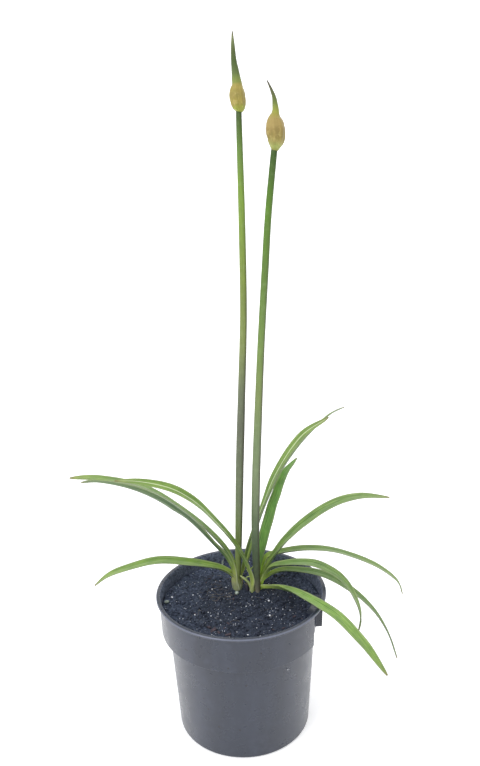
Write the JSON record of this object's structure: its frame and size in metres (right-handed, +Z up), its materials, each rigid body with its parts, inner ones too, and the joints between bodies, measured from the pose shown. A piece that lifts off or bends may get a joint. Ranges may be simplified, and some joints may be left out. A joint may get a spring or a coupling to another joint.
{
  "type": "potted agapanthus plant",
  "caption": "Agapanthus plant in tight bud, with arching strap leaves and tall thin flower stalks, growing in dark compost in a round tapered nursery pot.",
  "frame": {"origin": "middle of the pot's underside", "axes": "+Z up; -Y is the front, the side the plant is looked at from; +X to the right"},
  "size_m": [0.2733, 0.1964, 0.506],
  "materials": {
    "pot_plastic": "satin slate-grey moulded plastic",
    "peat_compost": "dark crumbly compost with white perlite and brown bark",
    "leaf_sheath": "pale olive green, matt",
    "leaf_blade": "mid green with fine parallel veins, waxy",
    "flower_stalk": "green, greyed purple lower down, waxy",
    "bud_spathe": "papery tan with a green beak"
  },
  "bodies": {
    "root": {"pot": "pot_plastic", "soil": "peat_compost", "crown_left": "leaf_sheath", "crown_right": "leaf_sheath", "leaf_left_upper": "leaf_blade", "leaf_left_middle": "leaf_blade", "leaf_left_low": "leaf_blade", "leaf_left_back": "leaf_blade", "leaf_left_back_tall": "leaf_blade", "leaf_right_crossing": "leaf_blade", "leaf_right_inner": "leaf_blade", "leaf_right_upper": "leaf_blade", "leaf_right_back": "leaf_blade", "leaf_right_drooping": "leaf_blade", "leaf_right_front": "leaf_blade", "leaf_right_low": "leaf_blade", "scape_left": "flower_stalk", "scape_right": "flower_stalk", "bud_left": "bud_spathe", "bud_right": "bud_spathe"}
  },
  "joints": []
}
